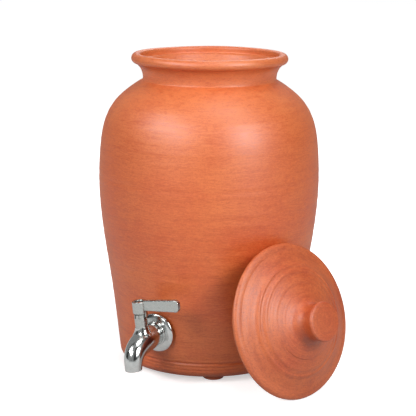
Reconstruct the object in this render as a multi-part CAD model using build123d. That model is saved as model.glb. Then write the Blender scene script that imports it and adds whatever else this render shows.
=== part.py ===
from build123d import *
import math
import os

# A terracotta water jar with a loose lid and a lever tap, in millimetres.
# The origin is on the jar's axis at floor level, +Z is up and the tap points along -Y.

# Jar, outer form. Heights are above the base edge, which stands on the feet, and rises above the wall's top.
foot_height = 5.4
foot_radius = 12.0
foot_round = 2.0
foot_inset = 2.5
foot_count = 3
foot_azimuth = 35.5
belly_radius = 125.0
wall_top_height = 318.3
neck_height = 29.5
base_radius = 95.5
base_round_height = 8.0
base_wall_radius = 102.0
neck_corner_radius = 75.4
# The side between base and neck, as shares of wall_top_height and of belly_radius.
wall_height_shares = (0.088, 0.283, 0.493, 0.644, 0.757, 0.867, 0.930, 0.970)
wall_radius_shares = (0.834, 0.896, 0.974, 1.000, 0.988, 0.934, 0.838, 0.722)

# Jar, rim. The bead is round, with a gallery and a ledge inside it.
rim_radius = 88.0
bead_radius = 5.6
bead_start_angle = -58.0
gallery_radius = 77.9
gallery_depth = 7.8
gallery_lip = 2.6
ledge_radius = 74.0
throat_radius = 66.5
throat_rise = 2.2
throat_step_radius = 69.6
throat_step_rise = 12.2

# Jar, inside
wall = 11.0
floor_thickness = 13.0
base_corner_wall = 10.2
inner_base_round = 9.0

# Lid, in its own frame: the rim's middle plane is at height 0 and the knob points up.
lid_radius = 83.5
lid_edge = 3.2
lid_edge_flat = 4.4
lid_dip_radius = 77.2
lid_dip_height = 3.0
lid_step_radius = 61.4
lid_step_height = 11.4
lid_second_step_radius = 52.4
lid_second_step_height = 15.8
lid_step_rise = 1.1
lid_step_width = 2.6
dome_radius = 21.0
dome_height = 26.6
knob_neck_radius = 16.0
knob_neck_height = 32.0
knob_radius = 20.9
knob_flare_height = 43.4
knob_top_radius = 17.6
knob_top_height = 47.7
knob_crown = 0.5
lid_spigot_radius = 68.0
lid_spigot_wall = 7.0
lid_spigot_depth = 19.0
lid_hollow_height = 18.6
lid_hollow_radius = 50.0
lid_hollow_shoulder = 9.0

# Lid, leaning on the jar beside the tap
lid_azimuth = 65.5
lid_facing = 74.0
lid_lean = 15.9
rest_gap = 0.3

# Tap placing. Lengths along the tap are measured out from its seat on the jar.
tap_height = 50.5
tap_tilt = 2.5
tap_roll = 5.0
seat_depth = 2.0
seat_radius = 18.0
seat_wall = 7.5
inner_seat_radius = 16.0
shank_hole_clearance = 0.75
overrun = 30.0

# Tap, flange and seals
shank_radius = 8.0
shank_bore = 4.6
shank_slip = 0.2
thread_slip = 0.05
shank_inside = 24.0
flange_radius = 21.6
flange_rim_back = 4.4
flange_rim_thickness = 1.3
flange_front = 8.6
flange_crown_radius = 14.6
gasket_thickness = 5.0
gasket_radius = 17.0
gasket_bore_slip = 0.3
inner_gasket_thickness = 3.0
inner_gasket_radius = 15.0
backing_thickness = 1.5
backing_radius = 15.5
nut_width = 24.0
nut_thickness = 8.0
nut_chamfer = 1.0

# Tap, body and spout
collar_radius = 14.0
collar_length = 2.0
collar_round = 0.8
barrel_radius = 12.8
elbow_radius = 13.4
outlet_radius = 9.4
outlet_wall = 1.7
outlet_round = 0.8
stem_out = 31.0
spout_reach = 54.1
spout_drop = 27.2
spout_pull_out = 30.0
spout_pull_down = 22.5
spout_sink = 2.4
water_start_radius = 4.2
# Sections of the spout, as shares of its path and of the change from elbow to outlet.
section_shares = (0.0, 0.14, 0.28, 0.46, 0.64, 0.82, 1.0)
swell_shares = (0.0, 0.7, 1.0, 1.0, 1.0, 1.0, 1.0)
taper_shares = (0.0, 0.0, 0.03, 0.22, 0.50, 0.80, 1.0)
water_section_shares = (0.46, 0.64, 0.82, 1.0)

# Tap, valve. Heights are above the barrel's axis, along the stem.
neck_radius = 7.4
neck_top = 14.8
neck_flare_radius = 11.0
neck_flare_bottom = 6.0
chamber_radius = 5.95
chamber_depth = 8.5
port_drop = 1.6
port_radius = 3.4
liner_wall = 0.95
liner_top = 8.2
liner_slip = 0.05
plug_slip = 0.05
plug_hole_radius = 3.2
plug_end_gap = 0.4
stem_radius = 3.4
stem_slip = 0.06
ring_groove_depth = 0.9
ring_groove_width = 1.8
ring_heights = (16.6, 20.0)
square_width = 4.8
square_slip = 0.1
square_top = 38.0

# Tap, bonnet and thrust bush
bonnet_radius = 7.0
bonnet_top = 29.0
bonnet_skirt_bottom = 8.6
bonnet_slip = 0.05
bonnet_recess_radius = 5.2
bonnet_recess_depth = 3.6
notch_count = 8
notch_width = 1.8
notch_depth = 3.8
thrust_gap = 0.1
stop_half_angle = 14.0
stop_play = 1.0

# Angles and the way shapes are placed
quarter_turn = 90.0
full_turn = 360.0
on_base = (Align.CENTER, Align.CENTER, Align.MIN)

# Handle
hub_radius = 7.9
hub_bottom = 30.2
hub_top = 43.4
hub_chamfer = 0.5
hub_recess_radius = 6.0
hub_recess_depth = 3.2
stop_key_drop = 2.6
stop_key_inner = 5.6
stop_key_outer = 7.0
lug_drop = 3.6
lug_thickness = 1.3
lug_gap = 0.25
lug_width = 3.4
lug_root = 2.6
lever_length = 51.0
lever_root = 6.2
lever_top = 45.0
lever_root_height = 11.6
lever_end_height = 13.6
lever_thickness = 5.4
lever_rise = 4.0
lever_end_round = 4.6
lever_edge_round = 1.2
screw_radius = 1.5
screw_slip = 0.15
screw_length = 8.0
screw_head_radius = 4.0
screw_head_height = 1.2
screw_dome = 1.0


def above_base(height):
    """Height above the floor of a height above the base edge."""
    return foot_height + height


def rim_top():
    """Height of the rim's top above the floor."""
    return above_base(wall_top_height + neck_height)


def wall_points():
    """The jar's outer side from above the base round up to the neck corner."""
    points = [(base_wall_radius, above_base(base_round_height))]
    for height_share, radius_share in zip(wall_height_shares, wall_radius_shares):
        points.append((radius_share * belly_radius, above_base(height_share * wall_top_height)))
    points.append((neck_corner_radius, above_base(wall_top_height)))
    return points


def inset_point(before, point, after, depth):
    """A point moved into the wall, square to the line between its neighbours."""
    along = math.atan2(after[1] - before[1], after[0] - before[0])
    return (point[0] - depth * math.sin(along), point[1] + depth * math.cos(along))


def inner_points():
    """The jar's inner side from the floor round up to the throat."""
    outer = wall_points()
    points = [(base_wall_radius - base_corner_wall, above_base(floor_thickness + inner_base_round))]
    for before, point, after in zip(outer, outer[1:], outer[2:]):
        points.append(inset_point(before, point, after, wall))
    points.append((throat_radius, above_base(wall_top_height + throat_rise)))
    return points


def wall_curve():
    """The jar's outer side as one curve in the XZ plane."""
    points = [Vector(radius, 0, height) for radius, height in wall_points()]
    return Spline(*points, tangents=[Vector(0.12, 0, 1), Vector(-1, 0, 0.5)])


def outer_table(steps=240):
    """Points along the outer side, from the base edge up, to look the radius up in."""
    curve = wall_curve()
    table = [(foot_height, base_radius)]
    for step in range(steps + 1):
        place = curve.position_at(step / steps)
        table.append((place.Z, place.X))
    return table


def outer_radius(height, table):
    """The radius of the jar's outer side at a height above the floor."""
    for low, high in zip(table, table[1:]):
        if low[0] <= height <= high[0]:
            share = (height - low[0]) / (high[0] - low[0])
            return low[1] + share * (high[1] - low[1])
    return base_radius


def in_xz(points):
    """Points given as radius and height, placed in the XZ plane."""
    return [Vector(radius, 0, height) for radius, height in points]


def bead_point(angle):
    """A point on the rim's round bead."""
    turn = math.radians(angle)
    centre_radius = rim_radius - bead_radius
    centre_height = rim_top() - bead_radius
    out = centre_radius + bead_radius * math.cos(turn)
    return Vector(out, 0, centre_height + bead_radius * math.sin(turn))


def jar_section():
    """Half of the jar's section, from the axis out and up, over the rim and down inside."""
    outer = wall_points()
    inner = in_xz(inner_points())
    floor_height = above_base(floor_thickness)
    under_rim = bead_point(bead_start_angle)
    top = bead_point(quarter_turn)
    lip = Vector(gallery_radius, 0, rim_top() - gallery_lip)
    ledge_height = rim_top() - gallery_depth
    ledge_back = Vector(gallery_radius, 0, ledge_height)
    ledge_front = Vector(ledge_radius, 0, ledge_height)
    step = Vector(throat_step_radius, 0, above_base(wall_top_height + throat_step_rise))
    corner = Vector(neck_corner_radius, 0, above_base(wall_top_height))
    base_edge = Vector(base_radius, 0, foot_height)
    inner_foot = Vector(base_wall_radius - base_corner_wall - inner_base_round, 0, floor_height)
    edges = [
        Line(Vector(0, 0, foot_height), base_edge),
        Spline(base_edge, in_xz(outer)[0], tangents=[Vector(1, 0, 0.25), Vector(0.12, 0, 1)]),
        wall_curve(),
        Spline(corner, under_rim, tangents=[Vector(-0.2, 0, 1), Vector(1, 0, 0.3)]),
        ThreePointArc(under_rim, bead_point(bead_start_angle / 2), bead_point(0)),
        ThreePointArc(bead_point(0), bead_point(quarter_turn / 2), top),
        Spline(top, lip, tangents=[Vector(-1, 0, 0), Vector(0, 0, -1)]),
        Line(lip, ledge_back),
        Line(ledge_back, ledge_front),
        Line(ledge_front, step),
        Line(step, inner[-1]),
        Spline(*reversed(inner), tangents=[Vector(0, 0, -1), Vector(0, 0, -1)]),
        Spline(inner[0], inner_foot, tangents=[Vector(0, 0, -1), Vector(-1, 0, 0)]),
        Line(inner_foot, Vector(0, 0, floor_height)),
        Line(Vector(0, 0, floor_height), Vector(0, 0, foot_height)),
    ]
    return make_face(edges)


def foot():
    """One clay pad under the base, with a rounded lower edge."""
    pad = Cylinder(foot_radius, foot_height + floor_thickness / 2, align=on_base)
    pad = fillet(pad.edges().group_by(Axis.Z)[0], foot_round)
    return Pos(0, foot_radius + foot_inset - base_radius, 0) * pad


def tap_place(table):
    """Where the tap stands: its own X axis points out of the jar and its Z axis up the stem."""
    height = above_base(tap_height)
    reach = outer_radius(height, table) - seat_depth
    turned = Rot(0, 0, -quarter_turn) * Rot(0, tap_tilt, 0) * Rot(tap_roll, 0, 0)
    return Pos(0, -reach, height) * turned


def tube_x(outer, inner, start, end):
    """A tube along the tap's barrel."""
    ring = Plane.YZ.offset(start) * Circle(outer)
    if inner > 0:
        ring = ring - Plane.YZ.offset(start) * Circle(inner)
    return extrude(ring, end - start)


def rod_z(radius, bottom, top):
    """A round rod along the tap's stem."""
    return Pos(stem_out, 0, bottom) * Cylinder(radius, top - bottom, align=on_base)


def jar_body(place):
    """The thrown jar with its feet, the hole for the tap and the flats that the tap seats on."""
    body = revolve(jar_section(), Axis.Z)
    for number in range(foot_count):
        body += Rot(0, 0, foot_azimuth + full_turn / foot_count * number) * foot()
    outer_flat = tube_x(seat_radius, 0, 0, overrun)
    inner_flat = tube_x(inner_seat_radius, 0, -overrun, -seat_wall)
    hole = tube_x(shank_radius + shank_hole_clearance, 0, -overrun, overrun)
    for cut in (outer_flat, inner_flat, hole):
        body -= place * cut
    return body


def lid_section():
    """Half of the lid's section: over the knob and dome, round the edge and back underneath."""
    edge_flat = lid_radius - lid_edge_flat
    spigot_inner = lid_spigot_radius - lid_spigot_wall
    top = in_xz([
        (lid_dip_radius, lid_dip_height),
        (lid_step_radius + lid_step_rise, lid_step_height),
        (lid_step_radius, lid_step_height + lid_step_rise),
        (lid_step_radius - lid_step_width, lid_step_height + lid_step_rise),
        (lid_second_step_radius + lid_step_rise, lid_second_step_height),
        (lid_second_step_radius, lid_second_step_height + lid_step_rise),
        (lid_second_step_radius - lid_step_width, lid_second_step_height + lid_step_rise),
    ])
    dome = Vector(dome_radius, 0, dome_height)
    neck = Vector(knob_neck_radius, 0, knob_neck_height)
    flare = Vector(knob_radius, 0, knob_flare_height)
    bevel = Vector(knob_top_radius, 0, knob_top_height)
    crown = Vector(0, 0, knob_top_height + knob_crown)
    seat_out = Vector(edge_flat, 0, -lid_edge)
    seat_in = Vector(lid_spigot_radius, 0, -lid_edge)
    spigot_out = Vector(lid_spigot_radius, 0, -lid_spigot_depth)
    spigot_in = Vector(spigot_inner, 0, -lid_spigot_depth)
    hollow_foot = Vector(spigot_inner, 0, -lid_edge)
    hollow = Vector(lid_hollow_radius, 0, lid_hollow_shoulder)
    hollow_top = Vector(0, 0, lid_hollow_height)
    edges = [
        Spline(crown, bevel, tangents=[Vector(1, 0, 0), Vector(1, 0, -0.15)]),
        Spline(bevel, flare, tangents=[Vector(1, 0, -0.4), Vector(-0.05, 0, -1)]),
        Spline(flare, neck, dome, tangents=[Vector(-0.2, 0, -1), Vector(1, 0, -0.5)]),
        Spline(dome, top[-1], tangents=[Vector(1, 0, -0.24), Vector(1, 0, -0.42)]),
        Polyline(*reversed(top)),
        ThreePointArc(top[0], Vector(lid_radius, 0, 0), seat_out),
        Line(seat_out, seat_in),
        Line(seat_in, spigot_out),
        Line(spigot_out, spigot_in),
        Line(spigot_in, hollow_foot),
        Spline(hollow_foot, hollow, hollow_top, tangents=[Vector(-0.3, 0, 1), Vector(-1, 0, 0)]),
        Line(hollow_top, crown),
    ]
    return make_face(edges)


def lid_turn():
    """The turn that points the lid's knob away from the jar and a little up."""
    return Rot(0, 0, lid_facing) * Rot(quarter_turn - lid_lean, 0, 0)


def lid_centre(distance):
    """The middle of the lid's rim, at a distance from the jar's axis, with its edge near the floor."""
    lean = math.radians(lid_lean)
    azimuth = math.radians(lid_azimuth)
    height = lid_radius * math.cos(lean) + rest_gap
    return Vector(distance * math.sin(azimuth), -distance * math.cos(azimuth), height)


def lid_clearance(distance, table, steps=180):
    """The least gap between the jar and the lid's back edges when the lid stands at a distance."""
    turn = lid_turn()
    gaps = []
    for radius, depth in ((lid_spigot_radius, lid_spigot_depth), (lid_radius - lid_edge_flat, lid_edge)):
        for step in range(steps):
            angle = math.tau * step / steps
            local = Pos(radius * math.cos(angle), radius * math.sin(angle), -depth)
            place = (turn * local).position + lid_centre(distance)
            gaps.append(math.hypot(place.X, place.Y) - outer_radius(place.Z, table))
    return min(gaps)


def lid_distance(table):
    """The distance from the jar's axis at which the lid leans on the jar with the rest gap."""
    near = belly_radius
    far = belly_radius + 2 * lid_radius
    for _ in range(24):
        middle = (near + far) / 2
        if lid_clearance(middle, table) > rest_gap:
            far = middle
        else:
            near = middle
    return far


def lid(table):
    """The thrown lid with its knob, standing on its edge and leaning on the jar."""
    turned = revolve(lid_section(), Axis.Z)
    return Pos(lid_centre(lid_distance(table))) * lid_turn() * turned


def spout_path():
    """The middle line of the barrel's end and the spout, bending from along the tap to down the stem."""
    start = Vector(flange_front + collar_length, 0, 0)
    outlet = Vector(spout_reach, 0, -spout_drop)
    leaving = start + Vector(spout_pull_out, 0, -spout_sink)
    falling = outlet + Vector(0, 0, spout_pull_down)
    return Bezier(start, leaving, falling, outlet)


def spout_sections(path, radii, shares):
    """Round sections square to the path."""
    sections = []
    for radius, share in zip(radii, shares):
        square = Plane(origin=path @ share, x_dir=(0, 1, 0), z_dir=path % share)
        sections.append(square * Circle(radius))
    return sections


def spout_radii():
    """Outer radii of the sections: the barrel swells to the elbow and tapers to the outlet."""
    radii = []
    for swell, taper in zip(swell_shares, taper_shares):
        full = barrel_radius + swell * (elbow_radius - barrel_radius)
        radii.append(full + taper * (outlet_radius - full))
    return radii


def neck():
    """The short neck that the bonnet stands on, sweeping out into the elbow below it."""
    foot = Vector(neck_flare_radius, 0, neck_flare_bottom)
    root = Vector(neck_radius, 0, neck_top)
    edges = [
        Line(Vector(0, 0, 0), Vector(neck_flare_radius, 0, 0)),
        Line(Vector(neck_flare_radius, 0, 0), foot),
        Spline(foot, root, tangents=[Vector(-0.8, 0, 1), Vector(-0.1, 0, 1)]),
        Line(root, Vector(0, 0, neck_top)),
        Line(Vector(0, 0, neck_top), Vector(0, 0, 0)),
    ]
    return Pos(stem_out, 0, 0) * revolve(make_face(edges), Axis.Z)


def tap_body():
    """The cast body: threaded shank, collar, barrel, spout and valve neck, with its waterway."""
    path = spout_path()
    outer = spout_radii()
    collar = tube_x(collar_radius, 0, flange_front, flange_front + collar_length)
    collar = fillet(collar.edges().sort_by(Axis.X)[-1], collar_round)
    spout = loft(spout_sections(path, outer, section_shares))
    spout = fillet(spout.edges().sort_by(Axis.Z)[0], outlet_round)
    shank = tube_x(shank_radius, 0, -shank_inside, flange_front)
    shank = chamfer(shank.edges().sort_by(Axis.X)[0], nut_chamfer)
    body = collar + spout + shank + neck()
    water_end_radius = outlet_radius - outlet_wall
    water_start = water_section_shares[0]
    inner = []
    for share in water_section_shares:
        grown = (share - water_start) / (water_section_shares[-1] - water_start)
        inner.append(water_start_radius + grown * (water_end_radius - water_start_radius))
    water = loft(spout_sections(path, inner, water_section_shares))
    body -= water
    body -= tube_x(shank_bore, 0, -shank_inside, stem_out)
    body -= rod_z(chamber_radius, -chamber_depth, neck_top)
    body -= Pos(0, 0, -port_drop) * tube_x(port_radius, 0, stem_out, (path @ water_start).X)
    return body


def flange():
    """The turned flange: thin rim by the wall, domed front and a recess for the gasket behind."""
    hole = shank_radius + shank_slip
    rim_front = flange_rim_back + flange_rim_thickness
    recess = gasket_radius + gasket_bore_slip
    edges = [
        Line(Vector(gasket_thickness, 0, hole), Vector(flange_front, 0, hole)),
        Line(Vector(flange_front, 0, hole), Vector(flange_front, 0, flange_crown_radius)),
        Spline(Vector(flange_front, 0, flange_crown_radius), Vector(rim_front, 0, flange_radius),
               tangents=[Vector(-0.25, 0, 1), Vector(-1, 0, 0.6)]),
        Line(Vector(rim_front, 0, flange_radius), Vector(flange_rim_back, 0, flange_radius)),
        Line(Vector(flange_rim_back, 0, flange_radius), Vector(flange_rim_back, 0, recess)),
        Line(Vector(flange_rim_back, 0, recess), Vector(gasket_thickness, 0, recess)),
        Line(Vector(gasket_thickness, 0, recess), Vector(gasket_thickness, 0, hole)),
    ]
    return revolve(make_face(edges), Axis.X)


def outer_gasket():
    """The rubber ring between the flange and the jar's spot face."""
    return tube_x(gasket_radius, shank_radius + gasket_bore_slip, 0, gasket_thickness)


def inner_gasket():
    """The rubber ring inside the jar."""
    back = -seat_wall
    return tube_x(inner_gasket_radius, shank_radius + gasket_bore_slip, back - inner_gasket_thickness, back)


def backing_washer():
    """The steel washer behind the inner gasket."""
    back = -seat_wall - inner_gasket_thickness
    return tube_x(backing_radius, shank_radius + shank_slip, back - backing_thickness, back)


def lock_nut():
    """The hexagon nut that clamps the tap to the wall."""
    back = -seat_wall - inner_gasket_thickness - backing_thickness
    side = nut_width / 2
    hexagon = Plane.YZ.offset(back - nut_thickness) * RegularPolygon(side, 6, major_radius=False)
    nut = extrude(hexagon, nut_thickness)
    corner = side / math.cos(math.radians(30.0))
    blank = tube_x(corner, 0, back - nut_thickness, back)
    blank = chamfer(blank.edges().filter_by(GeomType.CIRCLE), nut_chamfer)
    return (nut & blank) - tube_x(shank_radius + thread_slip, 0, -overrun, back)


def valve_liner():
    """The plastic sleeve that the plug turns in, with a port on each side."""
    outer = chamber_radius - liner_slip
    bottom = -chamber_depth + liner_slip
    liner = rod_z(outer, bottom, liner_top) - rod_z(outer - liner_wall, bottom, liner_top)
    ports = tube_x(port_radius, 0, stem_out - chamber_radius, stem_out + chamber_radius)
    return liner - Pos(0, 0, -port_drop) * ports


def plug_radius():
    """The plug's radius inside its liner."""
    return chamber_radius - liner_slip - liner_wall - plug_slip


def plug():
    """The valve plug and its stem: cross hole, seal grooves, square drive and tapped top."""
    bottom = -chamber_depth + plug_end_gap
    body = rod_z(plug_radius(), bottom, liner_top - plug_end_gap)
    body += rod_z(stem_radius, 0, hub_bottom)
    square = Box(square_width, square_width, square_top - bonnet_top, align=on_base)
    body += Pos(stem_out, 0, bonnet_top) * square
    for height in ring_heights:
        low = height - ring_groove_width / 2
        high = height + ring_groove_width / 2
        body -= rod_z(stem_radius + overrun, low, high) - rod_z(stem_radius - ring_groove_depth, low, high)
    cross = Pos(stem_out, 0, -port_drop) * Rot(quarter_turn, 0, 0) * Cylinder(plug_hole_radius, overrun)
    body -= cross
    body -= rod_z(screw_radius + screw_slip, screw_bottom() - screw_slip, square_top)
    return body


def stem_o_rings():
    """The two sealing rings on the stem."""
    section = ring_groove_depth / 2
    middle = stem_radius - section
    rings = [Pos(stem_out, 0, height) * Torus(middle, section) for height in ring_heights]
    return Compound(children=rings)


def wedge_z(inner, outer, bottom, top, centre_angle, half_angle):
    """A slice of a ring about the stem."""
    height = top - bottom
    slice_shape = Cylinder(outer, height, arc_size=2 * half_angle, align=(Align.NONE, Align.NONE, Align.MIN))
    turned = Rot(0, 0, centre_angle - half_angle) * slice_shape
    return Pos(stem_out, 0, bottom) * (turned - Cylinder(inner, height, align=on_base))


def bonnet():
    """The gland nut on the neck: notched for a spanner, with a wide gap that stops the handle's key."""
    hole = stem_radius + stem_slip
    skirt = chamber_radius - bonnet_slip
    body = rod_z(bonnet_radius, neck_top, bonnet_top) + rod_z(skirt, bonnet_skirt_bottom, neck_top)
    body -= rod_z(hole, bonnet_skirt_bottom, bonnet_top)
    body -= rod_z(bonnet_recess_radius, bonnet_top - bonnet_recess_depth, bonnet_top)
    notch_bottom = bonnet_top - notch_depth
    for number in range(notch_count):
        slot = Box(bonnet_radius, notch_width, notch_depth, align=(Align.MIN, Align.CENTER, Align.MIN))
        turn = Rot(0, 0, full_turn / notch_count * (number + 0.5))
        body -= Pos(stem_out, 0, notch_bottom) * turn * Pos(bonnet_recess_radius, 0, 0) * slot
    sweep = quarter_turn / 2 + stop_half_angle + stop_play
    middle = -quarter_turn - quarter_turn / 2
    body -= wedge_z(bonnet_recess_radius, bonnet_radius + overrun, notch_bottom, bonnet_top, middle, sweep)
    return body


def thrust_bush():
    """The plastic bush in the bonnet's recess, which guides the stem and carries the hub."""
    bottom = bonnet_top - bonnet_recess_depth
    top = hub_bottom - thrust_gap
    ring = rod_z(bonnet_recess_radius - bonnet_slip, bottom, top)
    return ring - rod_z(stem_radius + stem_slip, bottom, top)


def screw_bottom():
    """The lower end of the handle screw."""
    return hub_top - hub_recess_depth - screw_length


def lever_blade():
    """The flat upright lever, a little deeper at its rounded end and rising outward."""
    root = Vector(0, lever_root, lever_top)
    rise = math.tan(math.radians(lever_rise)) * (lever_length - lever_root)
    end_top = Vector(0, lever_length, lever_top + rise)
    end_low = Vector(0, lever_length, lever_top + rise - lever_end_height)
    root_low = Vector(0, lever_root, lever_top - lever_root_height)
    side = make_face(Polyline(root, end_top, end_low, root_low, close=True))
    blade = Pos(-lever_thickness / 2, 0, 0) * extrude(side, lever_thickness, dir=(1, 0, 0))
    ends = blade.edges().filter_by(Axis.X).group_by(Axis.Y)[-1]
    blade = fillet(ends, lever_end_round)
    faces = blade.faces().filter_by(Axis.X)
    blade = fillet(faces.edges(), lever_edge_round)
    return Pos(stem_out, 0, 0) * blade


def handle():
    """The handle: hub with a screw recess and square socket, lever, outer lug and stop key."""
    hub = rod_z(hub_radius, hub_bottom, hub_top)
    hub = chamfer(hub.edges().filter_by(GeomType.CIRCLE), hub_chamfer)
    body = hub + lever_blade()
    body -= rod_z(hub_recess_radius, hub_top - hub_recess_depth, hub_top + overrun)
    lug_inner = bonnet_radius + lug_gap
    lug = Box(lug_width, lug_thickness, lug_drop + lug_root, align=(Align.CENTER, Align.MIN, Align.MIN))
    body += Pos(stem_out, lug_inner, hub_bottom - lug_drop) * lug
    root = Box(lug_width, lug_inner - lever_root, lug_root, align=(Align.CENTER, Align.MIN, Align.MIN))
    body += Pos(stem_out, lever_root, hub_bottom) * root
    key_bottom = hub_bottom - stop_key_drop
    key_top = hub_bottom + 2 * hub_chamfer
    body += wedge_z(stop_key_inner, stop_key_outer, key_bottom, key_top, -quarter_turn, stop_half_angle)
    socket_top = square_top + square_slip
    socket_width = square_width + 2 * square_slip
    socket = Box(socket_width, socket_width, socket_top - hub_bottom, align=on_base)
    body -= Pos(stem_out, 0, hub_bottom) * socket
    body -= rod_z(screw_radius + screw_slip, socket_top, hub_top)
    return body


def handle_screw():
    """The screw in the hub's recess, with a domed head."""
    seat = hub_top - hub_recess_depth
    head_top = seat + screw_head_height
    screw = rod_z(screw_radius, screw_bottom(), seat) + rod_z(screw_head_radius, seat, head_top)
    ball = (screw_head_radius ** 2 + screw_dome ** 2) / (2 * screw_dome)
    cap = Pos(stem_out, 0, head_top + screw_dome - ball) * Sphere(ball)
    return screw + (cap & rod_z(screw_head_radius, head_top, head_top + screw_dome))


def build():
    """Every piece of the jar at its place, by name."""
    table = outer_table()
    place = tap_place(table)
    pieces = {
        "jar_body": jar_body(place),
        "lid": lid(table),
    }
    tap_pieces = (
        tap_body, flange, outer_gasket, inner_gasket, backing_washer, lock_nut, valve_liner,
        bonnet, thrust_bush, plug, stem_o_rings, handle, handle_screw,
    )
    for make in tap_pieces:
        pieces[make.__name__] = place * make()
    return pieces


def save(pieces):
    """Write one file per piece."""
    os.makedirs("parts", exist_ok=True)
    for name, shape in pieces.items():
        export_step(shape, f"parts/{name}.step")


if __name__ == "__main__":
    save(build())
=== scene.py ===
import math

import bpy
import numpy as np
from mathutils import Matrix, Vector


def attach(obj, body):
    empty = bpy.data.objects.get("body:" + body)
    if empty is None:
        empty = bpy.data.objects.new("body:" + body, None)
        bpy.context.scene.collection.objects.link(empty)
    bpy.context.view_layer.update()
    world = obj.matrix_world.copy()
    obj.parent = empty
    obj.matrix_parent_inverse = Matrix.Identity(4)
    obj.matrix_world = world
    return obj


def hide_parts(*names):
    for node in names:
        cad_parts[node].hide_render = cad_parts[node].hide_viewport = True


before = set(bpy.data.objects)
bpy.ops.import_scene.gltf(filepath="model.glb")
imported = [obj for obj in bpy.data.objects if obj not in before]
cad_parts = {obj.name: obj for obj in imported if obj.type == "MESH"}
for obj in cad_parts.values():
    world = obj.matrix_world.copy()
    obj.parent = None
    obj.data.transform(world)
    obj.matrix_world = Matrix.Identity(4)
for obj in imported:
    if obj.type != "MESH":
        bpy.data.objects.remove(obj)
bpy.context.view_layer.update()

# The looks of a terracotta water jar with a loose lid and a steel lever tap.
# Lengths are millimetres, and mm turns them into metres. Names that end in _m are metres already.
mm = 0.001

# Camera, as found from the photograph's 416 pixel frame
frame_pixels = 416
sensor = 36.0
focal_pixels = 1350.0
camera_distance = 1513.7
camera_aside = -0.8
camera_height = 505.5
camera_azimuth = math.radians(31.0)
camera_pitch = math.radians(12.3)
camera_roll = math.radians(0.42)
view_depth_m = 50.0

# Directions in the section of a turned piece, radius first and height second
outward = (1.0, 0.0)
inward = (-1.0, 0.0)
downward = (0.0, -1.0)

# Points of an outline that are no further apart than this count as one
same_point = 0.02

# Jar outline, radius and height above the floor
foot_height = 5.4
base_edge = (95.5, foot_height)
base_wall = (102.0, 13.4)
wall_points = [
    base_wall, (104.25, 33.4), (112.0, 95.5), (121.75, 162.3), (125.0, 210.4), (123.5, 246.4),
    (116.75, 281.4), (104.75, 301.4), (90.25, 314.2), (75.4, 323.7),
]
jar_top = 353.2
rim_radius = 88.0
bead_radius = 5.6
bead_start = math.radians(-58.0)
gallery_radius = 77.9
gallery_lip = 350.6
ledge_height = 345.4
ledge_radius = 74.0
step = (69.6, 335.9)
throat = (66.5, 325.9)
inner_floor = 18.4
inner_base = (91.8, 27.4)
inner_base_round = 9.0
wall = 11.0

# Directions in which the jar's outline leaves or reaches its points
base_edge_way = (1.0, 0.25)
base_wall_way = (0.12, 1.0)
shoulder_way = (-1.0, 0.5)
neck_way = (-0.2, 1.0)
under_rim_way = (1.0, 0.3)

# Turns of the jar's mesh and spacing of its rows; the wall keeps every row only near its grooved base
jar_turns = 232
floor_spacing = 6.0
base_spacing = 0.8
wall_spacing = 0.9
rim_spacing = 0.7
ledge_spacing = 1.2
throat_spacing = 2.0
inside_spacing = 3.0
inner_round_spacing = 1.5
every_row_below = 32.0

# Three clay pads under the base, their upper ends sunk into it
pad_radius = 12.0
pad_round = 2.2
pad_inset = 2.5
pad_azimuth = math.radians(35.5)
pad_count = 3
pad_sunk = 4.0
pad_turns = 48
pad_flat_spacing = 2.0
pad_round_spacing = 0.4
pad_side_spacing = 1.0

# Tap seat, measured out from the jar along the tap
tap_height = 55.9
tap_reach = 104.6
tap_tilt = math.radians(2.5)
tap_roll = math.radians(5.0)
seat_radius = 18.0
inner_seat_radius = 16.0
seat_wall = 7.5
seat_search_front = 50.0
seat_search_depth = 30.0

# Grooves turned near the jar's base: height, depth and half-width
base_grooves = [(14.0, 0.45, 1.1), (17.8, 0.55, 1.1), (22.0, 1.35, 1.2), (26.5, 0.25, 1.2)]

# Slow waves round the jar, as height, count in a turn and lead: its oval wall and its wavering rim
jar_oval = [(0.35, 2, 0.6)]
oval_full_height = 150.0
rim_waver = [(0.25, 3, 1.1), (0.2, 5, 2.4)]
waver_start = 335.0
waver_span = 15.0
waver_out_share = 0.6
waver_up_share = 0.5

# Throwing rings on the jar's outside, which fade in above the base
jar_rings = {"seed": 7, "count": 14, "widths": (5.0, 17.0), "heights": (0.01, 0.03), "wander": 0.35}
jar_rings_start = 20.0
jar_rings_span = 20.0
wall_only_start = 60.0
wall_only_span = 10.0

# Lid outline in its own frame, radius and height above the rim's middle plane
lid_radius = 83.5
lid_edge = 3.2
lid_edge_flat = 79.1
edge_top_inset = 1.6
edge_top_height = 2.6
lid_dip = (74.5, 4.9)
lid_outer_ridge = (59.4, 12.3)
lid_inner_ridge = (52.4, 15.9)
dome = (27.0, 26.0)
knob_neck = (19.6, 35.0)
knob_flare = (21.2, 47.6)
knob_bevel = (19.8, 50.4)
knob_crown = 51.0
spigot_radius = 68.0
spigot_wall = 7.0
spigot_depth = 19.0
hollow = (50.0, 9.0)
hollow_top = 18.6

# How far the knob sits off the lid's middle, and how far above the hollow that starts
knob_off_centre = 3.2
hollow_clear = 2.0

# Directions in which the lid's outline leaves or reaches its points
crown_way = (1.0, -0.10)
bevel_way = (1.0, -0.5)
flare_way = (-0.10, -1.0)
under_flare_way = (-0.2, -1.0)
dome_way = (1.0, -0.5)
ridges_way = (1.0, -0.45)
lid_dip_way = (1.0, -0.36)
edge_back_way = (-1.0, -0.3)
hollow_way = (-0.3, 1.0)

# Turns of the lid's mesh and spacing of its rows
lid_turns = 224
crown_spacing = 2.0
bevel_spacing = 0.4
lid_top_spacing = 0.8
lid_edge_spacing = 0.5
lid_under_spacing = 1.5
hollow_spacing = 2.0

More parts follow.
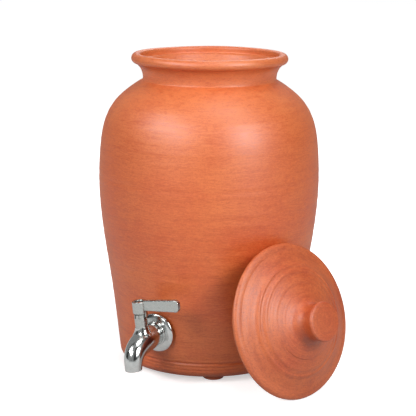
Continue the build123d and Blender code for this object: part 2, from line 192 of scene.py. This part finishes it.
# Rings turned in the lid's top: radius, depth (a ridge where it is negative) and half-width
lid_grooves = [
    (70.0, 0.12, 1.2), (66.0, -0.12, 1.4), (59.4, -0.75, 1.7), (56.0, 0.30, 1.3), (52.4, -0.50, 1.7),
    (47.5, 0.10, 1.4),
]

# Throwing rings on the lid's top, which fade in above its edge and outside its knob
lid_rings = {"seed": 11, "count": 10, "widths": (2.5, 9.0), "heights": (0.015, 0.04), "wander": 0.5}
lid_rings_height = 3.0
lid_rings_rise = 3.0
lid_rings_radius = 22.0
lid_rings_span = 6.0

# Slow waves round the lid's edge, as height, count in a turn and lead
lid_waver = [(0.3, 3, 0.4), (0.2, 4, 2.0)]
lid_waver_radius = 70.0
lid_waver_span = 10.0
lid_waver_height = -4.0
lid_waver_rise = 3.0
lid_waver_out_share = 0.5
lid_waver_up_share = 0.4

# Lid, leaning on the jar: azimuths are from the tap's direction towards +X
lid_azimuth = math.radians(65.5)
lid_facing = math.radians(74.0)
lid_lean = math.radians(15.9)
lid_distance = 156.85
rest_gap = 0.3

# Terracotta looks: linear colours, how much height and distance to the axis count along the outline,
# the heights from no painted sheen to most, the streaks' strength, the roughness from least to most, and the
# bump
jar_look = {
    "shades": {
        "middle": (0.670, 0.108, 0.017),
        "pale": (0.800, 0.200, 0.048),
        # Painted sheen: a paler, whiter clay over the jar's upper part, standing in for the sheen of the
        # light from above
        "painted_sheen": (0.700, 0.215, 0.072),
        "dark": (0.530, 0.070, 0.010),
        "brown": (0.340, 0.050, 0.009),
    },
    "rise_share": 1.0,
    "radius_share": 0.35,
    "painted_sheen_m": (0.16, 0.33),
    "streak_share": 0.9,
    "rough": (0.40, 0.54),
    "bump": 0.45,
}
lid_look = {
    "shades": {
        "middle": (0.510, 0.074, 0.011),
        "pale": (0.720, 0.180, 0.045),
        # Painted sheen: the same kind of paler shade, growing towards the lid's edge band
        "painted_sheen": (0.680, 0.165, 0.045),
        "dark": (0.330, 0.040, 0.006),
        "brown": (0.180, 0.028, 0.005),
    },
    "rise_share": 0.35,
    "radius_share": 1.0,
    "painted_sheen_m": (0.012, -0.004),
    "streak_share": 0.6,
    "rough": (0.44, 0.58),
    "bump": 0.60,
}

# Clay patterns: features per metre along each axis, detail and roughness
clay_noises = {
    "drift": ((14.0, 14.0, 14.0), 2.0, 0.5),
    "cloud": ((13.0, 13.0, 17.0), 4.0, 0.6),
    "speck": ((340.0, 340.0, 620.0), 4.0, 0.7),
    "grain": ((1300.0, 1300.0, 1300.0), 2.0, 0.6),
}

# Clay patterns of the wheel: features per metre along the turning and across it, detail and roughness
wheel_noises = {
    "fine": (120.0, 700.0, 4.0, 0.65),
    "band": (18.0, 160.0, 4.0, 0.6),
}
drift_reach_m = 0.0015
clay_specular = 1.0
clay_relief_m = 0.0004

# The values of a noise that count as its lowest and highest
noise_span = (0.35, 0.65)
wide_noise_span = (0.3, 0.7)
half_share = 0.5

# Steels: colour, roughness, its spread, and the brushing's features per metre along each axis
steels = {
    "polished_steel": ((0.60, 0.62, 0.61), 0.16, 0.02, (300.0, 300.0, 300.0)),
    "satin_steel": ((0.48, 0.50, 0.48), 0.26, 0.08, (2500.0, 120.0, 2500.0)),
    "turned_steel": ((0.50, 0.50, 0.49), 0.35, 0.08, (900.0, 3000.0, 900.0)),
}
brushing_detail = 3.0
brushing_roughness = 0.6
brushing_dark_share = 0.88
brushing_bump = 0.08
brushing_relief_m = 0.00005
smudges = ((160.0, 160.0, 160.0), 3.0, 0.5)

# Rubber and plastic: colour and roughness, and their common mould texture
moulded_looks = {
    "black_rubber": ((0.020, 0.020, 0.020), 0.60),
    "white_ptfe": ((0.78, 0.78, 0.74), 0.42),
}
mould_grain = ((900.0, 900.0, 900.0), 3.0, 0.6)
mould_dark_share = 0.8
mould_spread = 0.08
mould_bump = 0.15
mould_relief_m = 0.0001

# Which of these looks each piece of the tap has
tap_looks = {
    "tap_body": "polished_steel", "flange": "polished_steel", "handle": "satin_steel",
    "bonnet": "satin_steel", "handle_screw": "polished_steel", "plug": "satin_steel",
    "lock_nut": "turned_steel", "backing_washer": "turned_steel", "outer_gasket": "black_rubber",
    "inner_gasket": "black_rubber", "stem_o_rings": "black_rubber", "valve_liner": "white_ptfe",
    "thrust_bush": "white_ptfe",
}

# Lamps: degrees right of the camera's direction, degrees up, size in metres, and watts
boxes = {
    "side_box": (-60.0, 38.0, (0.6, 0.7), 10.5),
    "left_box": (-33.0, 28.0, (0.45, 0.55), 9.0),
    "top_box": (35.0, 70.0, (0.8, 0.8), 7.5),
    "back_box": (175.0, 40.0, (0.8, 0.8), 6.0),
    "low_box": (40.0, 20.0, (0.6, 0.7), 8.0),
    "right_box": (38.0, 30.0, (0.45, 0.55), 10.0),
}
box_distance_m = 1.7
aim_m = (0.0, 0.0, 0.17)

# Unlit panels of the studio, which polished metal mirrors: degrees right of the camera's direction,
# and half-width in degrees
panels = [(-84.0, 15.0), (22.0, 20.0), (100.0, 14.0)]
panel_softness = 5.0
panel_top = 78.0
panel_level = 0.03
mirrored_level = 0.32

# Floor: its grey to the camera and to other light, how much of the first is mirrored,
# and the glow that goes with the first, by distance from the jar's axis, dimmer near the jar as painted
# shade
floor_half_m = 6.0
floor_pale = 0.90
floor_plain = 0.28
floor_mirrored_share = 0.35
painted_shade_distances_m = (0.10, 0.34)
painted_shade_glow_levels = (0.55, 1.0)


def named(shape, name):
    """A mesh object of its own at the origin."""
    data = bpy.data.meshes.new(name)
    piece = bpy.data.objects.new(name, data)
    bpy.context.scene.collection.objects.link(piece)
    vertices, faces = shape
    data.from_pydata([tuple(v) for v in vertices], [], faces)
    data.validate()
    data.shade_smooth()
    return piece


def smooth(points, start, end, spacing):
    """Evenly spaced points on a smooth curve through the given ones, with set end directions."""
    p = np.array(points, float)
    span = np.linalg.norm(np.diff(p, axis=0), axis=1)
    at = np.concatenate([[0.0], np.cumsum(span)])
    count = len(p)
    matrix = np.eye(count)
    right = np.zeros_like(p)
    right[0] = np.array(start, float) / np.linalg.norm(start)
    right[-1] = np.array(end, float) / np.linalg.norm(end)
    for i in range(1, count - 1):
        before, after = 1.0 / span[i - 1], 1.0 / span[i]
        matrix[i, i - 1:i + 2] = before, 2.0 * (before + after), after
        right[i] = 3.0 * ((p[i] - p[i - 1]) * before ** 2 + (p[i + 1] - p[i]) * after ** 2)
    slope = np.linalg.solve(matrix, right)
    samples = np.linspace(0.0, at[-1], max(3, int(round(at[-1] / spacing)) + 1))
    index = np.clip(np.searchsorted(at, samples, side="right") - 1, 0, count - 2)
    width = span[index][:, None]
    t = ((samples - at[index]) / span[index])[:, None]
    a = (1 + 2 * t) * (1 - t) ** 2 * p[index] + t * (1 - t) ** 2 * width * slope[index]
    b = t ** 2 * (3 - 2 * t) * p[index + 1] - t ** 2 * (1 - t) * width * slope[index + 1]
    return a + b


def straight(start, end, spacing):
    """Evenly spaced points on a straight line."""
    start, end = np.array(start, float), np.array(end, float)
    count = max(2, int(round(np.linalg.norm(end - start) / spacing)) + 1)
    return start + (end - start) * np.linspace(0.0, 1.0, count)[:, None]


def arc(centre, radius, first, last, spacing):
    """Evenly spaced points on a round arc."""
    count = max(3, int(round(abs(last - first) * radius / spacing)) + 1)
    turn = np.linspace(first, last, count)
    return np.array(centre) + radius * np.stack([np.cos(turn), np.sin(turn)], 1)


def chain(*runs):
    """One outline from runs that follow each other, without doubled points."""
    points = [runs[0][0]]
    for run in runs:
        for point in run:
            if np.linalg.norm(point - points[-1]) > same_point:
                points.append(point)
    return np.array(points)


def lathe(outline, turns, shift=None):
    """Vertices in metres and faces of a turned shape whose outline starts and ends on the axis."""
    inner = outline[1:-1]
    angle = np.arange(turns) * math.tau / turns
    radius = np.repeat(inner[:, 0][:, None], turns, axis=1)
    height = np.repeat(inner[:, 1][:, None], turns, axis=1)
    turn = np.repeat(angle[None, :], len(inner), axis=0)
    if shift is not None:
        radius, height = shift(radius, height, turn)
    body = np.stack([radius * np.cos(turn), radius * np.sin(turn), height], -1).reshape(-1, 3)
    ends = np.array([[0.0, 0.0, outline[0][1]], [0.0, 0.0, outline[-1][1]]])
    vertices = np.concatenate([body, ends]) * mm
    first, last = len(body), len(body) + 1
    faces = []
    for row in range(len(inner) - 1):
        for k in range(turns):
            n = (k + 1) % turns
            low, high = row * turns, (row + 1) * turns
            faces.append((low + k, low + n, high + n, high + k))
    top = (len(inner) - 1) * turns
    for k in range(turns):
        n = (k + 1) % turns
        faces.append((first, n, k))
        faces.append((last, top + k, top + n))
    return vertices, faces


def rising(value, start, span):
    """0 up to a start, 1 from a span beyond it, and a straight slope between."""
    return np.clip((value - start) / span, 0.0, 1.0)


def waves(turn, given):
    """The sum of slow waves round a turned piece, each given as height, count in a turn and lead."""
    total = np.zeros_like(turn)
    for height, count, lead in given:
        total += height * np.cos(count * turn + lead)
    return total


def throwing_rings(along, turn, seed, count, widths, heights, wander):
    """Faint rings of random width and height, which wander a little round a thrown piece."""
    random = np.random.RandomState(seed)
    rings = np.zeros_like(along)
    for _ in range(count):
        width = random.uniform(*widths)
        lead = random.uniform(0.0, math.tau)
        height = random.uniform(*heights)
        rings += height * np.sin(along * math.tau / width + lead + wander * np.sin(turn + lead))
    return rings


def grooved(rings, along, grooves):
    """Rings with grooves cut into them, each given as place, depth and half-width."""
    for place, depth, half_width in grooves:
        rings = rings - depth * np.exp(-((along - place) / half_width) ** 2)
    return rings


def jar_outline():
    """The jar's section, from the middle of its underside, out, up, over the rim and down inside."""
    bead = (rim_radius - bead_radius, jar_top - bead_radius)
    under = np.array(bead) + bead_radius * np.array([math.cos(bead_start), math.sin(bead_start)])
    inside = [inner_base]
    for before, point, after in zip(wall_points, wall_points[1:], wall_points[2:]):
        along = math.atan2(after[1] - before[1], after[0] - before[0])
        inside.append((point[0] - wall * math.sin(along), point[1] + wall * math.cos(along)))
    inside.append(throat)
    floor_edge = (inner_base[0] - inner_base_round, inner_floor)
    rows = smooth(wall_points, base_wall_way, shoulder_way, wall_spacing)
    outside = [point for row, point in enumerate(rows) if row % 2 == 0 or point[1] < every_row_below]
    return chain(
        straight((0.0, foot_height), base_edge, floor_spacing),
        smooth([base_edge, base_wall], base_edge_way, base_wall_way, base_spacing),
        outside,
        smooth([wall_points[-1], under], neck_way, under_rim_way, base_spacing),
        arc(bead, bead_radius, bead_start, math.pi / 2, rim_spacing),
        smooth([(bead[0], jar_top), (gallery_radius, gallery_lip)], inward, downward, rim_spacing),
        straight((gallery_radius, gallery_lip), (gallery_radius, ledge_height), ledge_spacing),
        straight((gallery_radius, ledge_height), (ledge_radius, ledge_height), ledge_spacing),
        straight((ledge_radius, ledge_height), step, throat_spacing),
        straight(step, throat, throat_spacing),
        smooth(inside[::-1], downward, downward, inside_spacing),
        smooth([inner_base, floor_edge], downward, inward, inner_round_spacing),
        straight(floor_edge, (0.0, inner_floor), floor_spacing),
    )


def jar_wobble(radius, height, turn):
    """A hand thrown jar: slightly oval, with a wavering rim, faint throwing rings and turned grooves."""
    oval = waves(turn, jar_oval) * rising(height, 0.0, oval_full_height)
    rings = throwing_rings(height, turn, **jar_rings) * rising(height, jar_rings_start, jar_rings_span)
    rings = grooved(rings, height, base_grooves)
    wall_only = rising(radius, wall_only_start, wall_only_span)
    waver = waves(turn, rim_waver)
    top = rising(height, waver_start, waver_span)
    new_radius = radius + (oval + rings) * wall_only + waver_out_share * waver * top
    return new_radius, height + waver_up_share * waver * top


def tap_place():
    """The tap's own frame: X out of the jar, Z up its stem."""
    turn = Matrix.Rotation(-math.pi / 2, 4, "Z") @ Matrix.Rotation(tap_tilt, 4, "Y")
    turn = turn @ Matrix.Rotation(tap_roll, 4, "X")
    return Matrix.Translation(Vector((0.0, -tap_reach, tap_height)) * mm) @ turn


def jar_piece():
    """The jar, lathed, and flattened outside and inside where the tap seats."""
    piece = named(lathe(jar_outline(), jar_turns, jar_wobble), "terracotta_jar")
    out = tap_place()
    into = out.inverted()
    for vertex in piece.data.vertices:
        if vertex.co.y > -seat_search_front * mm:
            continue
        local = into @ vertex.co
        off = math.hypot(local.y, local.z) / mm
        if off < seat_radius and local.x > 0.0:
            local.x = 0.0
            vertex.co = out @ local
        elif off < inner_seat_radius and -seat_search_depth * mm < local.x < -seat_wall * mm:
            local.x = -seat_wall * mm
            vertex.co = out @ local
    return piece


def pad_pieces():
    """The clay pads, each with a rounded lower edge and its upper end inside the floor of the jar."""
    pad_top = foot_height + pad_sunk
    outline = chain(
        straight((0.0, 0.0), (pad_radius - pad_round, 0.0), pad_flat_spacing),
        arc((pad_radius - pad_round, pad_round), pad_round, -math.pi / 2, 0.0, pad_round_spacing),
        straight((pad_radius, pad_round), (pad_radius, pad_top), pad_side_spacing),
        straight((pad_radius, pad_top), (0.0, pad_top), pad_flat_spacing),
    )
    reach = base_edge[0] - pad_radius - pad_inset
    pads = []
    for number in range(pad_count):
        pad = named(lathe(outline, pad_turns), f"clay_pad_{number + 1}")
        turn = pad_azimuth + math.tau / pad_count * number
        for vertex in pad.data.vertices:
            vertex.co.x += reach * math.sin(turn) * mm
            vertex.co.y -= reach * math.cos(turn) * mm
        pads.append(pad)
    return pads


def lid_outline():
    """The lid's section, from the top of the knob over the dome, round the edge and back underneath."""
    edge_top = (lid_radius - edge_top_inset, edge_top_height)
    edge_back = (lid_edge_flat, -lid_edge)
    ridges = [dome, lid_inner_ridge, lid_outer_ridge, lid_dip]
    edge = [lid_dip, edge_top, (lid_radius, 0.0), edge_back]
    inner = spigot_radius - spigot_wall
    return chain(
        smooth([(0.0, knob_crown), knob_bevel], outward, crown_way, crown_spacing),
        smooth([knob_bevel, knob_flare], bevel_way, flare_way, bevel_spacing),
        smooth([knob_flare, knob_neck, dome], under_flare_way, dome_way, lid_top_spacing),
        smooth(ridges, ridges_way, lid_dip_way, lid_top_spacing),
        smooth(edge, lid_dip_way, edge_back_way, lid_edge_spacing),
        straight(edge_back, (spigot_radius, -lid_edge), lid_under_spacing),
        straight((spigot_radius, -lid_edge), (spigot_radius, -spigot_depth), lid_under_spacing),
        straight((spigot_radius, -spigot_depth), (inner, -spigot_depth), lid_under_spacing),
        straight((inner, -spigot_depth), (inner, -lid_edge), lid_under_spacing),
        smooth([(inner, -lid_edge), hollow, (0.0, hollow_top)], hollow_way, inward, hollow_spacing),
    )


def lid_wobble(radius, height, turn):
    """Throwing rings and ridges on the lid's top, and a slightly uneven edge."""
    rings = grooved(throwing_rings(radius, turn, **lid_rings), radius, lid_grooves)
    top = rising(height, lid_rings_height, lid_rings_rise) * rising(radius, lid_rings_radius, lid_rings_span)
    edge = waves(turn, lid_waver)
    rim = rising(radius, lid_waver_radius, lid_waver_span) * rising(height, lid_waver_height, lid_waver_rise)
    new_radius = radius + lid_waver_out_share * edge * rim
    return new_radius, height + rings * top + lid_waver_up_share * edge * rim


def off_centre(piece):
    """Moves the knob a little off the lid's middle, as on a lid thrown by hand."""
    for vertex in piece.data.vertices:
        reach = math.hypot(vertex.co.x, vertex.co.y) / mm
        rise = vertex.co.z / mm
        if rise > hollow_top + hollow_clear and reach < lid_inner_ridge[0]:
            share = (lid_inner_ridge[0] - reach) / (lid_inner_ridge[0] - knob_flare[0])
            vertex.co.y -= knob_off_centre * mm * min(1.0, share)


def lid_place():
    """Where the lid leans."""
    turn = Matrix.Rotation(lid_facing, 4, "Z") @ Matrix.Rotation(math.pi / 2 - lid_lean, 4, "X")
    height = lid_radius * math.cos(lid_lean) + rest_gap
    spot = Vector((lid_distance * math.sin(lid_azimuth), -lid_distance * math.cos(lid_azimuth), height))
    return Matrix.Translation(spot * mm) @ turn


def lid_piece():
    """The lid, lathed in its own frame and then leaned on the jar, its place in its mesh."""
    vertices, faces = lathe(lid_outline(), lid_turns, lid_wobble)
    piece = named((vertices, [face[::-1] for face in faces]), "terracotta_lid")
    off_centre(piece)
    piece.data.transform(lid_place())
    return piece


def make_camera():
    """The photograph's camera."""
    sine, cosine = math.sin(camera_azimuth), math.cos(camera_azimuth)
    level, drop = math.cos(camera_pitch), math.sin(camera_pitch)
    right = Vector((cosine, sine, 0.0))
    ahead = Vector((-sine * level, cosine * level, -drop))
    up = right.cross(ahead)
    side = right * math.cos(camera_roll) + up * math.sin(camera_roll)
    top = up * math.cos(camera_roll) - right * math.sin(camera_roll)
    data = bpy.data.cameras.new("camera")
    data.sensor_width = sensor
    data.lens = sensor * focal_pixels / frame_pixels
    data.clip_end = view_depth_m
    camera = bpy.data.objects.new("camera", data)
    bpy.context.scene.collection.objects.link(camera)
    turn = Matrix((side, top, -ahead)).transposed().to_4x4()
    flat = Vector((-sine, cosine, 0.0))
    spot = right * camera_aside - flat * camera_distance + Vector((0.0, 0.0, camera_height))
    camera.matrix_world = Matrix.Translation(spot * mm) @ turn
    bpy.context.scene.camera = camera


def material(name):
    """A new material with its principled shader."""
    made = bpy.data.materials.new(name)
    made.use_nodes = True
    return made, made.node_tree, made.node_tree.nodes["Principled BSDF"]


def node(tree, kind, **values):
    """A shader node with its settings and sockets given by name, _ for a blank in a socket's name."""
    made = tree.nodes.new(kind)
    for key, value in values.items():
        if hasattr(made, key):
            setattr(made, key, value)
        else:
            made.inputs[key.replace("_", " ")].default_value = value
    return made


def grey(level):
    """A neutral colour for a socket."""
    return (level, level, level, 1.0)


def ranged(tree, value, low, high, to_low, to_high):
    """A value mapped from one range to another, clamped."""
    made = node(tree, "ShaderNodeMapRange", From_Min=low, From_Max=high, To_Min=to_low, To_Max=to_high)
    tree.links.new(value, made.inputs["Value"])
    return made.outputs["Result"]


def sums(tree, operation, first, second):
    """A maths node on two values, either of which may be a plain number."""
    made = node(tree, "ShaderNodeMath", operation=operation)
    for socket, value in zip(made.inputs, (first, second)):
        if isinstance(value, (int, float)):
            socket.default_value = value
        else:
            tree.links.new(value, socket)
    return made.outputs[0]


def middle(tree, first, second):
    """The middle of two values."""
    halves = [sums(tree, "MULTIPLY", value, half_share) for value in (first, second)]
    return sums(tree, "ADD", *halves)


def blended(tree, share, first, second):
    """A mix of two colours, each a plain colour or the output of a node."""
    made = node(tree, "ShaderNodeMix", data_type="RGBA")
    tree.links.new(share, made.inputs["Factor"])
    for socket, value in ((made.inputs[6], first), (made.inputs[7], second)):
        if isinstance(value, tuple):
            socket.default_value = (*value, 1.0)
        else:
            tree.links.new(value, socket)
    return made.outputs[2]


def noise(tree, vector, detail, roughness):
    """Noise with one feature to each unit of its coordinates."""
    made = node(tree, "ShaderNodeTexNoise", Scale=1.0, Detail=detail, Roughness=roughness)
    tree.links.new(vector, made.inputs["Vector"])
    return made.outputs["Fac"]


def stretched_noise(tree, scale, detail, roughness):
    """Noise over the object's own coordinates, with a scale of features per metre along each axis."""
    coordinates = node(tree, "ShaderNodeTexCoord")
    mapping = node(tree, "ShaderNodeMapping", Scale=scale)
    tree.links.new(coordinates.outputs["Object"], mapping.inputs["Vector"])
    return noise(tree, mapping.outputs["Vector"], detail, roughness)


def upright(tree, place):
    """Coordinates in a turned piece's own frame, with its axis upright, from where that frame lies."""
    coordinates = node(tree, "ShaderNodeTexCoord")
    into = place.inverted()
    mapping = node(tree, "ShaderNodeMapping", Location=into.to_translation(), Rotation=into.to_euler())
    tree.links.new(coordinates.outputs["Object"], mapping.inputs["Vector"])
    return mapping.outputs["Vector"]


def profile_place(tree, own, rise_share, radius_share):
    """How far along a turned piece's outline a point lies, from its height and its distance to the axis."""
    split = node(tree, "ShaderNodeSeparateXYZ")
    tree.links.new(own, split.inputs[0])
    flat = node(tree, "ShaderNodeCombineXYZ")
    tree.links.new(split.outputs["X"], flat.inputs["X"])
    tree.links.new(split.outputs["Y"], flat.inputs["Y"])
    radius = node(tree, "ShaderNodeVectorMath", operation="LENGTH")
    tree.links.new(flat.outputs[0], radius.inputs[0])
    rise = sums(tree, "MULTIPLY", split.outputs["Z"], rise_share)
    return sums(tree, "ADD", rise, sums(tree, "MULTIPLY", radius.outputs["Value"], radius_share))


def thrown_noise(tree, own, place, along, across, detail, roughness):
    """Streaks left by the potter's wheel: features per metre along the turning and across it."""
    slow = node(tree, "ShaderNodeVectorMath", operation="SCALE", Scale=along)
    tree.links.new(own, slow.inputs[0])
    fast = node(tree, "ShaderNodeCombineXYZ")
    tree.links.new(sums(tree, "MULTIPLY", place, across), fast.inputs["Z"])
    both = node(tree, "ShaderNodeVectorMath", operation="ADD")
    tree.links.new(slow.outputs[0], both.inputs[0])
    tree.links.new(fast.outputs[0], both.inputs[1])
    return noise(tree, both.outputs[0], detail, roughness)


def clay_patterns(tree, frame_place, rise_share, radius_share):
    """The clay's patterns by name, and with them the height in the piece's own frame."""
    patterns = {name: stretched_noise(tree, *given) for name, given in clay_noises.items()}
    drift = ranged(tree, patterns["drift"], *wide_noise_span, -drift_reach_m, drift_reach_m)
    own = upright(tree, frame_place)
    place = sums(tree, "ADD", profile_place(tree, own, rise_share, radius_share), drift)
    for name, given in wheel_noises.items():
        patterns[name] = thrown_noise(tree, own, place, *given)
    split = node(tree, "ShaderNodeSeparateXYZ")
    tree.links.new(own, split.inputs[0])
    patterns["height"] = split.outputs["Z"]
    return patterns


def clay_layers(painted_sheen_m, streak_share):
    """Layers of colour: a pattern, its values from none to most, the most that shows, and the shade."""
    return [
        ("cloud", (0.38, 0.68), 0.75, "pale"),
        # Painted sheen: a paler shade laid by height, standing in for light from above
        ("height", painted_sheen_m, 0.50, "painted_sheen"),
        ("band", (0.48, 0.68), 0.40, "dark"),
        ("fine", (0.51, 0.70), 0.60 * streak_share, "pale"),
        ("fine", (0.49, 0.32), 0.55 * streak_share, "dark"),
        ("speck", (0.52, 0.66), 0.40, "pale"),
        ("speck", (0.48, 0.34), 0.40, "dark"),
        ("grain", (0.56, 0.72), 0.40, "brown"),
    ]


def bumped(tree, shader, height, strength, relief_m):
    """Gives a shader the bump of a pattern."""
    made = node(tree, "ShaderNodeBump", Strength=strength, Distance=relief_m)
    tree.links.new(height, made.inputs["Height"])
    tree.links.new(made.outputs["Normal"], shader.inputs["Normal"])


def terracotta(name, place, shades, rise_share, radius_share, painted_sheen_m, streak_share, rough, bump):
    """Fired clay with wheel streaks, cloudy paler patches, a painted sheen that pales it by height, pores
    and a soft sheen.
    """
    made, tree, shader = material(name)
    patterns = clay_patterns(tree, place, rise_share, radius_share)
    colour = shades["middle"]
    for pattern, span, most_share, shade in clay_layers(painted_sheen_m, streak_share):
        share = ranged(tree, patterns[pattern], *span, 0.0, most_share)
        colour = blended(tree, share, colour, shades[shade])
    tree.links.new(colour, shader.inputs["Base Color"])
    uneven = middle(tree, patterns["fine"], patterns["speck"])
    tree.links.new(ranged(tree, uneven, *noise_span, *rough), shader.inputs["Roughness"])
    shader.inputs["Specular IOR Level"].default_value = clay_specular
    bumped(tree, shader, uneven, bump, clay_relief_m)
    return made


def tinted(tree, shader, pattern, colour, dark_share):
    """Gives a shader a colour that a pattern darkens."""
    dark = tuple(part * dark_share for part in colour)
    tint = blended(tree, ranged(tree, pattern, *noise_span, 0.0, 1.0), colour, dark)
    tree.links.new(tint, shader.inputs["Base Color"])


def metal(name, colour, roughness, spread, scale):
    """Steel with fine brushing, whose features per metre along each axis are its scale."""
    made, tree, shader = material(name)
    brushing = stretched_noise(tree, scale, brushing_detail, brushing_roughness)
    tinted(tree, shader, brushing, colour, brushing_dark_share)
    shader.inputs["Metallic"].default_value = 1.0
    uneven = middle(tree, brushing, stretched_noise(tree, *smudges))
    rough = ranged(tree, uneven, *noise_span, roughness - spread, roughness + spread)
    tree.links.new(rough, shader.inputs["Roughness"])
    bumped(tree, shader, brushing, brushing_bump, brushing_relief_m)
    return made


def moulded(name, colour, roughness):
    """Rubber or plastic with a faint mould texture."""
    made, tree, shader = material(name)
    grain = stretched_noise(tree, *mould_grain)
    tinted(tree, shader, grain, colour, mould_dark_share)
    rough = ranged(tree, grain, *wide_noise_span, roughness - mould_spread, roughness + mould_spread)
    tree.links.new(rough, shader.inputs["Roughness"])
    bumped(tree, shader, grain, mould_bump, mould_relief_m)
    return made


def paint(piece, made):
    """Gives a piece one material on all its slots."""
    if not piece.data.materials:
        piece.data.materials.append(made)
    for slot in piece.material_slots:
        slot.link = "OBJECT"
        slot.material = made


def softbox(name, azimuth, elevation, size, power):
    """A soft lamp at an azimuth right of the camera's direction, aimed at the jar."""
    turn = camera_azimuth + math.radians(azimuth)
    lift = math.radians(elevation)
    way = Vector((math.sin(turn) * math.cos(lift), -math.cos(turn) * math.cos(lift), math.sin(lift)))
    data = bpy.data.lights.new(name, "AREA")
    data.shape = "RECTANGLE"
    data.size, data.size_y = size
    data.energy = power
    lamp = bpy.data.objects.new(name, data)
    bpy.context.scene.collection.objects.link(lamp)
    lamp.location = Vector(aim_m) + way * box_distance_m
    lamp.rotation_mode = "QUATERNION"
    lamp.rotation_quaternion = (-way).to_track_quat("-Z", "Y")


def floor_glow_painted_shade(tree):
    """A glow that is weaker near the jar, which paints shade on the floor round it besides the floor's own
    shadow.
    """
    coordinates = node(tree, "ShaderNodeTexCoord")
    away = node(tree, "ShaderNodeVectorMath", operation="LENGTH")
    tree.links.new(coordinates.outputs["Object"], away.inputs[0])
    level = ranged(tree, away.outputs["Value"], *painted_shade_distances_m, *painted_shade_glow_levels)
    glow = node(tree, "ShaderNodeEmission")
    tree.links.new(level, glow.inputs["Strength"])
    return glow.outputs[0]


def white_floor():
    """A pale floor that shows white, keeps the object's soft shadow and has painted shade near the jar."""
    half = floor_half_m
    corners = [(-half, -half, 0.0), (half, -half, 0.0), (half, half, 0.0), (-half, half, 0.0)]
    floor = named((corners, [(0, 1, 2, 3)]), "floor")
    made = bpy.data.materials.new("floor_white")
    made.use_nodes = True
    tree = made.node_tree
    tree.nodes.clear()
    path = node(tree, "ShaderNodeLightPath")
    mirrored = sums(tree, "MULTIPLY", path.outputs["Is Glossy Ray"], floor_mirrored_share)
    seen = sums(tree, "MAXIMUM", path.outputs["Is Camera Ray"], mirrored)
    pale = node(tree, "ShaderNodeBsdfDiffuse", Color=grey(floor_pale))
    both = node(tree, "ShaderNodeAddShader")
    tree.links.new(pale.outputs[0], both.inputs[0])
    tree.links.new(floor_glow_painted_shade(tree), both.inputs[1])
    plain = node(tree, "ShaderNodeBsdfDiffuse", Color=grey(floor_plain))
    mixed = node(tree, "ShaderNodeMixShader")
    tree.links.new(seen, mixed.inputs[0])
    tree.links.new(plain.outputs[0], mixed.inputs[1])
    tree.links.new(both.outputs[0], mixed.inputs[2])
    output = node(tree, "ShaderNodeOutputMaterial")
    tree.links.new(mixed.outputs[0], output.inputs["Surface"])
    floor.data.materials.append(made)


def dark_panels(tree):
    """How much an unlit panel fills a direction: 1 in its middle and 0 in the white surroundings."""
    coordinates = node(tree, "ShaderNodeTexCoord")
    flat = node(tree, "ShaderNodeVectorMath", operation="MULTIPLY")
    flat.inputs[1].default_value = (1.0, 1.0, 0.0)
    tree.links.new(coordinates.outputs["Generated"], flat.inputs[0])
    level = node(tree, "ShaderNodeVectorMath", operation="NORMALIZE")
    tree.links.new(flat.outputs[0], level.inputs[0])
    across = 0.0
    for azimuth, half_width in panels:
        turn = camera_azimuth + math.radians(azimuth)
        towards = node(tree, "ShaderNodeVectorMath", operation="DOT_PRODUCT")
        towards.inputs[1].default_value = (math.sin(turn), -math.cos(turn), 0.0)
        tree.links.new(level.outputs[0], towards.inputs[0])
        edges = [math.cos(math.radians(half_width + soft)) for soft in (panel_softness, -panel_softness)]
        across = sums(tree, "MAXIMUM", ranged(tree, towards.outputs["Value"], *edges, 0.0, 1.0), across)
    split = node(tree, "ShaderNodeSeparateXYZ")
    tree.links.new(coordinates.outputs["Generated"], split.inputs[0])
    ends = [math.sin(math.radians(panel_top + soft)) for soft in (-panel_softness, panel_softness)]
    return sums(tree, "MULTIPLY", across, ranged(tree, split.outputs["Z"], *ends, 1.0, 0.0))


def white_world():
    """A white background; reflections show it dimmer and with the studio's unlit panels."""
    world = bpy.data.worlds.new("studio")
    bpy.context.scene.world = world
    world.use_nodes = True
    tree = world.node_tree
    background = tree.nodes["Background"]
    background.inputs["Color"].default_value = grey(1.0)
    path = node(tree, "ShaderNodeLightPath")
    unlit = ranged(tree, dark_panels(tree), 0.0, 1.0, mirrored_level, panel_level)
    mirrored = sums(tree, "MULTIPLY", path.outputs["Is Glossy Ray"], unlit)
    tree.links.new(sums(tree, "ADD", path.outputs["Is Camera Ray"], mirrored), background.inputs["Strength"])


def light_scene():
    """Soft boxes on both sides of the camera, one overhead and a weaker one behind."""
    for name, given in boxes.items():
        softbox(name, *given)


def finish_jar():
    """The clay pieces in place of the plain solids."""
    jar = jar_piece()
    jar_clay = terracotta("jar_clay", Matrix.Identity(4), **jar_look)
    paint(jar, jar_clay)
    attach(jar, "jar")
    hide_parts("jar_body")
    for pad in pad_pieces():
        paint(pad, jar_clay)
        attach(pad, "jar")
    lid = lid_piece()
    paint(lid, terracotta("lid_clay", lid_place(), **lid_look))
    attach(lid, "jar_lid")
    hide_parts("lid")


def finish_tap():
    """Materials of the tap's pieces, which keep their solids."""
    made = {name: metal(name, *given) for name, given in steels.items()}
    for name, given in moulded_looks.items():
        made[name] = moulded(name, *given)
    for piece, look in tap_looks.items():
        paint(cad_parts[piece], made[look])


bpy.context.scene.view_settings.view_transform = "Standard"
make_camera()
white_world()
white_floor()
light_scene()
finish_jar()
finish_tap()
